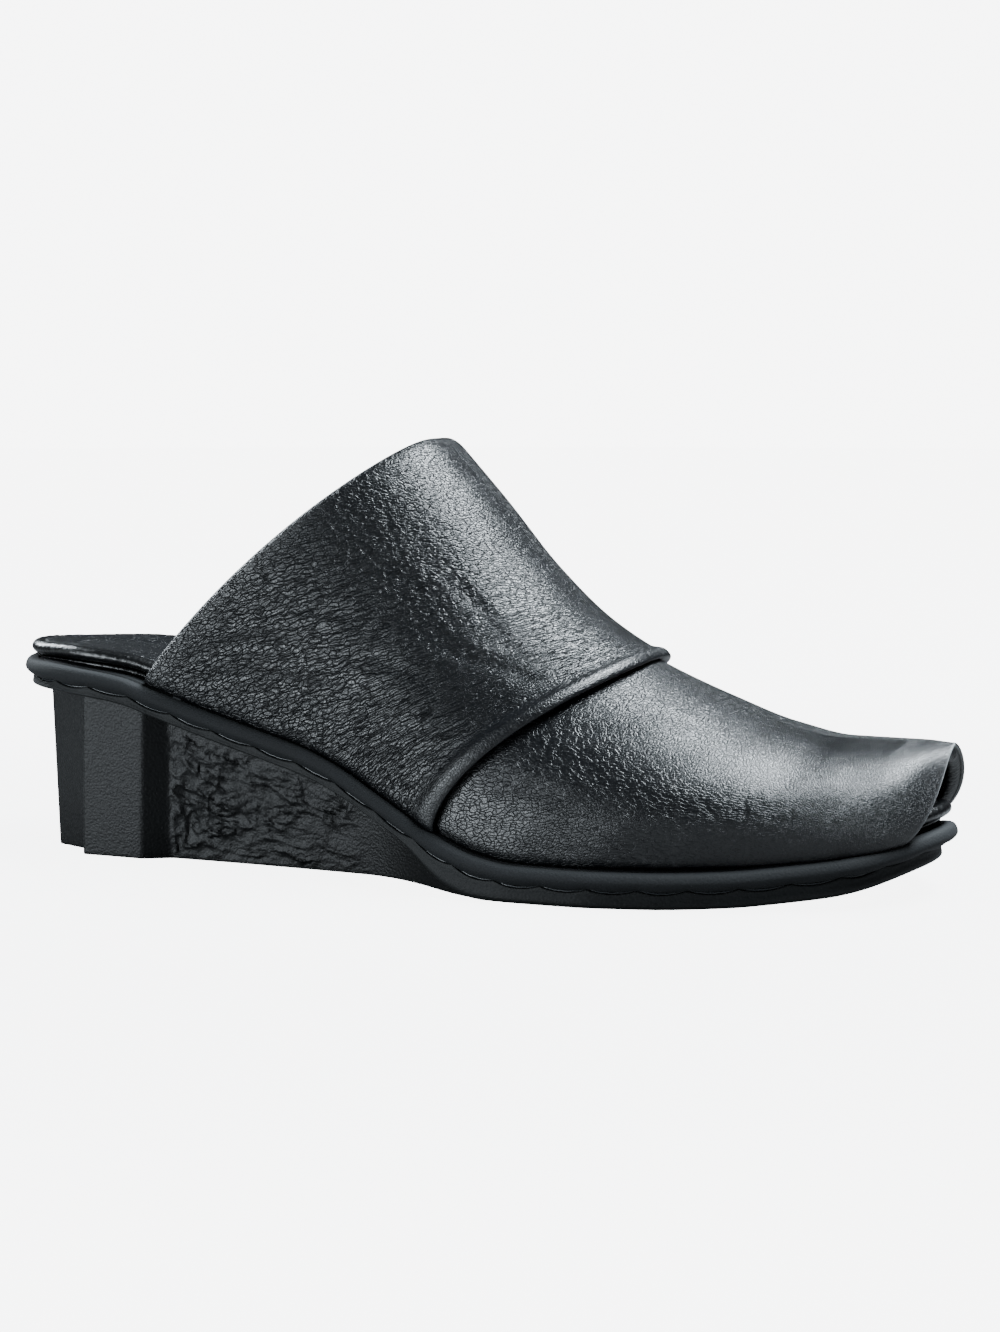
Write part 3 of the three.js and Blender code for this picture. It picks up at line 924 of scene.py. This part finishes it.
def foot_distance(rib, around):
    """The way up from the nearer foot, in millimetres."""
    foot = np.where(around < 0.5, 0.0, 1.0)
    inward = np.where(around < 0.5, 0.01, 0.99)
    slope = np.linalg.norm(arch(rib, inward) - arch(rib, foot), axis=-1) / 0.01
    return np.abs(around - foot) * slope


def tucked(from_foot):
    return TUCK * np.clip(1 - from_foot / TUCK_HEIGHT, 0, 1) ** 2


def lay_wall(sheet, rib, around, side, outside, inside, taper, table):
    """Lays both sheets on the ribs, at their distances outside the upper's surface."""
    distance = (outside + inside) / 2 + side * (outside - inside) / 2 * taper
    distance += creases(skin(rib, around, 0 * rib), table) * (side > 0) * taper
    set_points(sheet, skin(rib, around, distance))


def store_hide(sheet, rib, from_foot, degrees, creased):
    """The place on the hide, along and across its grain, and how creased it is."""
    forward, turned = rib * RIB_SPACING, np.radians(degrees)
    along = forward * np.cos(turned) + from_foot * np.sin(turned)
    across = forward * np.sin(turned) - from_foot * np.cos(turned)
    store(sheet, "hide", along, across, creased)


# %% [markdown]
# The band is one wide piece of leather over the instep. Its back edge is folded over the collar, so there
# the wall is thick and round, and shows as a facing inside. Its front edge is a rolled lip that stands
# off the vamp and throws a dark line of shadow on it.

# %% Instep band
BAND_INSIDE = 0.35
BAND_OUTSIDE = 1.9
BAND_REACH = 0.6
COLLAR_REACH = 0.9
COLLAR_FOLD = 9.0
COLLAR_ROUND = 3.4
COLLAR_THINNER = 0.25
FACING_INSIDE = -1.5
LIP_WIDTH = 6.5
LIP_CREST = 2.6
LIP_ROUND = 3.2
LIP_LIFT = 1.6
LIP_THICKER = 0.45
CREST_SHORTER = 0.09
BAND_RIB_STEP = 0.6 / RIB_SPACING


def make_band():
    start, end = -COLLAR_REACH / RIB_SPACING, BAND_FRONT + BAND_REACH / RIB_SPACING
    ribs = edge_stations(start, end, COLLAR_ROUND / RIB_SPACING, BAND_RIB_STEP)
    arcs = edge_stations(0.0, 1.0, FOOT_TAPER, ARC_STEP)
    sheet, around, rib, side = two_sheets("band", arcs, ribs)
    from_collar = (rib - start) * RIB_SPACING
    from_lip = (end - rib) * RIB_SPACING
    taper = edge_taper(rib, start, end + 1, COLLAR_ROUND / RIB_SPACING)
    taper *= edge_taper(rib, start - 1, end, LIP_ROUND / RIB_SPACING)
    taper *= edge_taper(around, 0.0, 1.0, FOOT_TAPER)
    up_side = np.sin(math.pi * np.clip(np.minimum(around, 1 - around) / 0.46, 0, 1)) ** 0.8
    on_crest = smoothstep(around * (1 - around), 0.1, 0.2)
    rib = rib - CREST_SHORTER * (1 - up_side) * on_crest * smoothstep(rib, 2.5, end)
    from_foot = foot_distance(np.clip(rib, 0, LAST_RIB), around)
    fold = 1 - smoothstep(from_collar, COLLAR_FOLD - 0.8, COLLAR_FOLD)
    lip = 1 - smoothstep(from_lip, LIP_CREST, LIP_WIDTH)
    lift = lip * LIP_LIFT * up_side
    thinner = COLLAR_THINNER * (1 - smoothstep(from_collar, 0, 5))
    outside = BAND_OUTSIDE - thinner + LIP_THICKER * lip + lift - tucked(from_foot)
    inside = BAND_INSIDE + (FACING_INSIDE - BAND_INSIDE) * fold + 0.7 * lift - 0.2 * lip
    lay_wall(sheet, rib, around, side, outside, np.minimum(inside, outside - 0.4), taper, BAND_CREASES)
    creased = 1 - smoothstep(from_foot, 34, 62)
    creased *= smoothstep(from_lip, 2, 8) * smoothstep(from_collar, 1, 8)
    store_hide(sheet, rib, from_foot, 48 + 32 * smoothstep(rib, 2.2, 3.8), creased)
    store(sheet, "zone", 0.3 + 0.7 * smoothstep(from_lip, 1, 9), 0 * rib + 1)
    close_and_smooth(sheet, 180)
    return sheet


band = make_band()
stand_for(band, "instep_band")

# %% [markdown]
# The upper itself shows from the band's lip to the toe opening, where it ends in a thin cut edge. On the
# outer sheet of the lateral half only, that edge is light grey, lighter than the grain: partly the raw
# edge's own colour, partly a painted highlight. Inside it is lined.

# %% Upper
UPPER_WALL = 1.8
UPPER_START = 9.6 / RIB_SPACING
UPPER_RIB_STEP = 0.95 / RIB_SPACING
TOE_RIB_SPACING = 12.0
CUT_EDGE = 1.1
CUT_ROUND = 0.3


def make_upper():
    start, end, fine = UPPER_START, LAST_RIB, CUT_ROUND / TOE_RIB_SPACING
    ribs = edge_stations(start, end, fine, UPPER_RIB_STEP)
    arcs = edge_stations(0.0, 1.0, FOOT_TAPER, ARC_STEP)
    sheet, around, rib, side = two_sheets("vamp", arcs, ribs)
    from_foot = foot_distance(rib, around)
    to_edge = (end - rib) * TOE_RIB_SPACING
    outside = -tucked(from_foot)
    wall = UPPER_WALL - (UPPER_WALL - CUT_EDGE) * (1 - smoothstep(to_edge, 0.5, 4))
    taper = edge_taper(rib, start, end, fine) * edge_taper(around, 0.0, 1.0, FOOT_TAPER)
    lay_wall(sheet, rib, around, side, outside, outside - wall, taper, VAMP_CREASES)
    creased = 0.5 * (1 - smoothstep(rib, 4.4, 6.2)) * smoothstep(from_foot, 6, 20)
    store_hide(sheet, rib, from_foot, 20, creased)
    # Partly the raw edge's own colour, partly a painted highlight: only the outer sheet's cut edge on the
    # lateral half turns light grey.
    grain = 1 - (side > 0) * (around < 0.5) * (1 - smoothstep(to_edge, 0.15, 0.35))
    store(sheet, "zone", 1 - 0.5 * smoothstep(rib, 4.6, 7.6), grain)
    close_and_smooth(sheet, 180)
    return sheet


upper = make_upper()
stand_for(upper, "upper")

# %% [markdown]
# Inside the toe opening the lining is rolled over a soft filling. Seen from the front it is a round bead
# just behind the cut edge, with fine wrinkles across it where it is gathered. It is one tube along the
# opening, drawn to a point at both ends.

# %% Toe lining
BEAD_RADIUS = 2.0
BEAD_SQUASH = 0.9
BEAD_DEPTH = 1.25
BEAD_RIB = LAST_RIB - 0.14
BEAD_ENDS = 0.03
BEAD_STATIONS = 260
BEAD_SIDES = 20
WRINKLE = 0.07


def make_toe_lining():
    wall, corner, station = ring_wall("toe_lining", BEAD_SIDES, BEAD_STATIONS)
    share = station / (BEAD_STATIONS - 1)
    around = BEAD_ENDS + (1 - 2 * BEAD_ENDS) * share
    size = BEAD_RADIUS * np.clip(np.sin(math.pi * share) * 6, 0, 1) ** 0.5
    wrinkle = np.array([noise.noise(Vector((s * 90, c * 0.35, 0.0))) for s, c in zip(share, corner)])
    size = size * (1 + WRINKLE * wrinkle)
    angle = 2 * math.pi * corner / BEAD_SIDES
    rib = BEAD_RIB + size * np.cos(angle) / TOE_RIB_SPACING * BEAD_SQUASH
    set_points(wall, skin(rib, around, -CUT_EDGE - BEAD_DEPTH + size * np.sin(angle)))
    mend_open_edges(wall, bpy.ops.mesh.remove_doubles, threshold=0.01 * MM)
    close_and_smooth(wall, 180)
    return wall


toe_lining = make_toe_lining()
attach(toe_lining, "root")

# %% [markdown]
# Colours are read off as sRGB hex values and turned to linear light once, in one place. Patterns read the
# piece's own place in millimetres, so a pebble of 1 mm is 1 mm wide on every piece.

# %% Material helpers
def colour(hex_value):
    """sRGB hex to linear light, with full alpha."""
    parts = [int(hex_value[k:k + 2], 16) / 255 for k in (1, 3, 5)]
    return (*[c / 12.92 if c <= 0.04045 else ((c + 0.055) / 1.055) ** 2.4 for c in parts], 1.0)


def feed(tree, node, inputs):
    """Gives each input its value, or links it to an output or to a node's first output."""
    for name, value in inputs.items():
        if isinstance(value, bpy.types.Node):
            value = value.outputs[0]
        if isinstance(value, bpy.types.NodeSocket):
            tree.links.new(value, node.inputs[name])
        else:
            node.inputs[name].default_value = value


def add_node(tree, kind, inputs=None, **settings):
    """One shader node with its settings, fed by the names or numbers of its inputs."""
    made = tree.nodes.new("ShaderNode" + kind)
    for name, value in settings.items():
        setattr(made, name, value)
    feed(tree, made, inputs or {})
    return made


def start_material(name, shader_values):
    """A new material with its shader's plain values, and the piece's place in millimetres."""
    material = bpy.data.materials.new(name)
    material.use_nodes = True
    tree = material.node_tree
    shader = tree.nodes["Principled BSDF"]
    feed(tree, shader, shader_values)
    place = add_node(tree, "TexCoord").outputs["Object"]
    in_mm = add_node(tree, "VectorMath", {0: place, "Scale": 1 / MM}, operation="SCALE")
    return material, tree, shader, in_mm


# %% [markdown]
# Full-grain calf, drum-dyed black with a light wax finish. The grain side is tumbled, so it rises in
# small pebbles with fine valleys between them, and where the leather bends the valleys join into short
# creases that run along the fold. A distance-to-edge Voronoi draws such valleys: once for fine pebbles,
# and twice on the hide's own directions, a little stretched for the coarse pebbles and much for the
# creases. The wax is rubbed onto the tops of the pebbles and hardly reaches the valleys, so the height
# of the pattern also sets how strongly the surface mirrors.
# The base colour is darker in the valleys than on the pebble tops: that is painted shade.

# %% Pebbles of the grain
def pebbles(tree, place, size, width, stretch=None):
    """Domes about size mm wide: 1 on their tops, falling ever steeper to 0 in the valleys.

    width: how wide a valley is, as a share of size. stretch: how much longer than wide, on the hide."""
    settings = {"feature": "DISTANCE_TO_EDGE"}
    if stretch:
        place = add_node(tree, "Mapping", {"Vector": place, "Scale": (1 / stretch, 1.0, 0)})
        settings["voronoi_dimensions"] = "2D"
    cells = add_node(tree, "TexVoronoi", {"Vector": place, "Scale": 1 / size}, **settings)
    rise = add_node(tree, "MapRange", {"Value": cells, "From Max": width})
    rest = add_node(tree, "Math", {0: 2.0, 1: rise}, operation="SUBTRACT")
    return add_node(tree, "Math", {0: rise, 1: rest}, operation="MULTIPLY")


# %% Leather
WOBBLE_SIZE = 2.4
SOFT_SIZE = 9.0
CREASE_SIZE = 1.7
# Painted shade: the near-black of the pebble valleys, against the lighter colour of the pebble tops.
VALLEY_BLACK_PAINTED_SHADE = "#050607"
# Partly the cut edge's own grey, partly a painted highlight.
CUT_EDGE_GREY_AND_PAINTED_HIGHLIGHT = "#a4a7a9"


def full_grain_leather(name, fine, coarse, depth, roughness, top_painted_light):
    """fine, coarse: widths of the pebbles in mm. depth: how deep the valleys are, in mm."""
    material, tree, shader, place = start_material(name, {"IOR": 1.5})
    hide = add_node(tree, "Attribute", attribute_name="hide").outputs["Vector"]
    creased = add_node(tree, "SeparateXYZ", {0: hide}).outputs["Z"]
    zone = add_node(tree, "Attribute", attribute_name="zone").outputs["Vector"]
    zones = add_node(tree, "SeparateXYZ", {0: zone}).outputs
    wobble = add_node(tree, "TexNoise", {"Vector": place, "Scale": 1 / WOBBLE_SIZE, "Detail": 1.0})
    centred = add_node(
        tree, "VectorMath", {0: wobble.outputs["Color"], 1: (0.5, 0.5, 0.5)}, operation="SUBTRACT"
    )
    bent, along = (
        add_node(tree, "VectorMath", {0: centred, 1: reach, 2: on}, operation="MULTIPLY_ADD")
        for reach, on in (((0.7, 0.7, 0.7), place), ((2.2, 2.2, 0), hide))
    )
    small = pebbles(tree, bent, fine, 0.24)
    large = pebbles(tree, along, coarse, 0.18, 1.6)
    folds = pebbles(tree, along, CREASE_SIZE, 0.13, 4.2)
    soft = add_node(tree, "TexNoise", {"Vector": place, "Scale": 1 / SOFT_SIZE, "Detail": 2.0})
    weights = [(small, 0.25), (soft, 0.4)]
    tops = 1.0
    for pattern, share, weight in ((large, zones["X"], 0.8), (folds, creased, 1.0)):
        below = add_node(tree, "Math", {0: pattern, 1: 1.0}, operation="SUBTRACT")
        shown = add_node(tree, "Math", {0: below, 1: share, 2: 1.0}, operation="MULTIPLY_ADD")
        tops = add_node(tree, "Math", {0: shown, 1: tops}, operation="MULTIPLY")
        weights.append((shown, weight))
    height = 0.0
    for pattern, weight in weights:
        height = add_node(tree, "Math", {0: pattern, 1: weight, 2: height}, operation="MULTIPLY_ADD")
    # Painted shade: the base colour falls from the lighter colour of the pebble tops to near-black in the
    # valleys.
    tint = add_node(
        tree, "Mix", {"Factor": small, "A": colour(VALLEY_BLACK_PAINTED_SHADE), "B": colour(top_painted_light)}, data_type="RGBA"
    ).outputs["Result"]
    # Where zone Y is 0 the base colour turns to the light grey of the cut edge: partly its own colour,
    # partly a painted highlight.
    cut = add_node(
        tree, "Mix", {"Factor": zones["Y"], "A": colour(CUT_EDGE_GREY_AND_PAINTED_HIGHLIGHT), "B": tint}, data_type="RGBA"
    ).outputs["Result"]
    feed(tree, shader, {
        "Base Color": cut,
        "Specular IOR Level": add_node(tree, "MapRange", {"Value": tops, "To Min": 0.28, "To Max": 0.58}),
        "Roughness": add_node(
            tree, "MapRange", {"Value": large, "To Min": roughness + 0.1, "To Max": roughness}
        ),
        "Normal": add_node(tree, "Bump", {"Height": height, "Distance": depth * MM, "Strength": 1.0}),
    })
    return material


# The last colour of each is that of the pebble tops, painted light against the painted shade of the
# valleys.
band.data.materials.append(full_grain_leather("tumbled_calf_band", 0.75, 0.95, 0.16, 0.3, "#0b0d10"))
upper.data.materials.append(full_grain_leather("tumbled_calf_vamp", 0.65, 0.78, 0.1, 0.28, "#0b0d10"))
footbed_leather = full_grain_leather("footbed_calf", 1.1, 2.1, 0.18, 0.3, "#0c0e11")
print("leather:", [material.name for material in bpy.data.materials if "calf" in material.name])

# %% [markdown]
# The edge of the insole and the lining are glazed kid: the same black, but smooth and polished, so the
# light breaks on its small ripples.

# %% Glazed leather
def glazed_kid(name, wrinkle, depth, roughness, coat):
    """wrinkle: the width of the small ripples in mm. depth: their height."""
    material, tree, shader, place = start_material(name, {
        "Base Color": colour("#060708"), "Roughness": roughness, "IOR": 1.5,
        "Coat Weight": coat, "Coat Roughness": 0.1,
    })
    waves = add_node(tree, "TexNoise", {"Vector": place, "Scale": 1 / wrinkle, "Detail": 3.0})
    bump = add_node(tree, "Bump", {"Height": waves, "Distance": depth * MM, "Strength": 1.0})
    feed(tree, shader, {"Normal": bump})
    return material


footbed.data.materials.append(glazed_kid("glazed_kid_roll", 1.6, 0.4, 0.3, 0.3))
footbed.data.materials.append(footbed_leather)
board.data.materials.append(glazed_kid("glazed_kid_board", 1.4, 0.5, 0.2, 0.5))
toe_lining.data.materials.append(glazed_kid("glazed_kid_lining", 1.2, 0.4, 0.5, 0.0))

# %% [markdown]
# The sole is compact rubber, a dark charcoal. The mould was sandblasted, so the surface is matt with a
# fine even grit and mirrors only half as much as a smooth one. A cloudy noise varies its black a little.
# On the wedge a ridged noise adds the finest folds of the relief, too small for the mesh.

# %% Rubber
CLOUD_SIZE = 14.0
FOIL_SIZE = 3.2


def moulded_rubber(name, hex_value, grit, depth, roughness, crinkle=0.0):
    """grit: size of the sandblasted grain in mm. depth: its height. crinkle: height of the folds."""
    material, tree, shader, place = start_material(
        name, {"Roughness": roughness, "IOR": 1.52, "Specular IOR Level": 0.25}
    )
    sand = add_node(tree, "TexNoise", {"Vector": place, "Scale": 1 / grit, "Detail": 2.0})
    cloud = add_node(tree, "TexNoise", {"Vector": place, "Scale": 1 / CLOUD_SIZE, "Detail": 4.0})
    value = add_node(tree, "MapRange", {"Value": cloud, "To Min": 0.8, "To Max": 1.2})
    tint = add_node(tree, "HueSaturation", {"Color": colour(hex_value), "Value": value})
    bump = add_node(tree, "Bump", {"Height": sand, "Distance": depth * MM, "Strength": 1.0})
    if crinkle:
        zone = add_node(tree, "Attribute", attribute_name="zone").outputs["Vector"]
        mask = add_node(tree, "SeparateXYZ", {0: zone})
        flat = add_node(
            tree, "Mapping", {"Vector": place, "Scale": (1 / FOIL_SIZE, 1 / FOIL_SIZE, 2 / FOIL_SIZE)}
        )
        foil = add_node(
            tree, "TexNoise", {"Vector": flat, "Scale": 1.0, "Detail": 3.0},
            noise_type="RIDGED_MULTIFRACTAL",
        )
        folded = add_node(tree, "Math", {0: foil, 1: mask}, operation="MULTIPLY")
        bump = add_node(
            tree, "Bump", {"Height": folded, "Distance": crinkle * MM, "Strength": 1.0, "Normal": bump}
        )
    feed(tree, shader, {"Base Color": tint, "Normal": bump})
    return material


rim.data.materials.append(moulded_rubber("matt_rubber_rim", "#181a1c", 0.5, 0.16, 0.76))
plate.data.materials.append(moulded_rubber("matt_rubber_plate", "#101213", 0.6, 0.14, 0.6))
wedge.data.materials.append(moulded_rubber("sandblasted_rubber_wedge", "#090a0b", 0.6, 0.2, 0.44, 0.2))

# %% [markdown]
# The thread is black waxed nylon, twisted from three plies. It is hardly wider than a pixel, so what
# counts is its polish: small glints in the slits.

# %% Thread
thread_material, *_ = start_material(
    "waxed_nylon_thread", {"Base Color": colour("#24272a"), "Roughness": 0.25, "IOR": 1.53}
)
thread.data.materials.append(thread_material)
print(len(bpy.data.materials), "materials")

# %% [markdown]
# The studio is a pale floor in a pale surround. The floor is thin as glass, so that it only darkens a
# little where the shoe stands, and fades out round it.

# %% Floor
bpy.ops.object.select_all(action="DESELECT")
bpy.ops.mesh.primitive_circle_add(vertices=96, radius=3.0, fill_type="NGON")
floor = bpy.context.object
floor.name = "floor"
floor_material, floor_tree, floor_shader, floor_place = start_material(
    "pale_floor", {"Base Color": colour("#e9eaeb"), "Roughness": 0.9}
)
from_middle = add_node(floor_tree, "VectorMath", {0: floor_place}, operation="LENGTH").outputs["Value"]
fade = add_node(
    floor_tree, "MapRange",
    {"Value": from_middle, "From Min": 150.0, "From Max": 400.0, "To Min": 0.18, "To Max": 0.04},
    interpolation_type="SMOOTHSTEP",
)
feed(floor_tree, floor_shader, {"Alpha": fade})
floor.data.materials.append(floor_material)

# %% [markdown]
# Black leather mirrors whatever stands around it, so a photographer keeps the rest of the room dark. The
# surround is bright only where the camera looks at it, and casts next to no light.

# %% Surround
world = bpy.data.worlds.new("studio")
bpy.context.scene.world = world
world.use_nodes = True
surround = world.node_tree
surround.nodes.clear()
seen = add_node(surround, "Background", {"Color": colour("#f4f5f6"), "Strength": 8.0})
felt = add_node(surround, "Background", {"Color": colour("#f4f6f8"), "Strength": 0.03})
looked_at = add_node(surround, "LightPath").outputs["Is Camera Ray"]
both = add_node(surround, "MixShader", {0: looked_at, 1: felt, 2: seen})
add_node(surround, "OutputWorld", {"Surface": both})

# %% [markdown]
# One large soft light stands above and beyond the toe and draws the broad sheen on the instep and the
# vamp. Four weak ones do the rest: a fill from the front, a low white card for the sole's side, a strip
# near the floor for the lower edges, and a light behind the heel for the rim of the collar.

# %% Lights
LIGHT_COLOUR = (0.86, 0.94, 1.0)
LIGHTS = [
    # name, place, aim, width and height in metres, watts
    ("top_light", (0.4, 0.19, 0.88), (0.0, 0.0, 0.03), 0.9, 0.3, 54),
    ("front_fill", (-0.75, -0.8, 0.5), (0.0, 0.0, 0.05), 0.6, 0.4, 3),
    ("front_card", (-0.58, -0.7, 0.07), (-0.03, 0.0, 0.04), 0.36, 0.26, 2.8),
    ("floor_card", (-0.3, -0.42, 0.004), (0.0, 0.0, 0.05), 0.6, 0.16, 1.3),
    ("heel_kicker", (-0.95, 0.38, 0.56), (-0.05, 0.0, 0.06), 0.35, 0.5, 13),
]
for name, place, aim, width, height, watts in LIGHTS:
    lamp = bpy.data.lights.new(name, "AREA")
    lamp.shape = "RECTANGLE"
    lamp.size, lamp.size_y, lamp.energy = width, height, watts
    lamp.color = LIGHT_COLOUR
    holder = bpy.data.objects.new(name, lamp)
    bpy.context.scene.collection.objects.link(holder)
    holder.location = place
    holder.rotation_euler = (Vector(aim) - Vector(place)).to_track_quat("-Z", "Y").to_euler()
print(len(LIGHTS), "lights")

# %% [markdown]
# The camera stands where the photograph was taken: low, a little towards the toe, with a long lens.

# %% Camera
camera_data = bpy.data.cameras.new("camera")
camera_data.lens = 78.1
camera_data.sensor_width = 36
camera = bpy.data.objects.new("camera", camera_data)
bpy.context.scene.collection.objects.link(camera)
camera.location = (0.2888, -0.6811, 0.135)
camera.rotation_euler = (math.radians(83.6), 0, math.radians(22.28))
bpy.context.scene.camera = camera
print("camera at", list(camera.location))

# %% [markdown]
# Last, the view layer is updated.

# %% Update
bpy.context.view_layer.update()
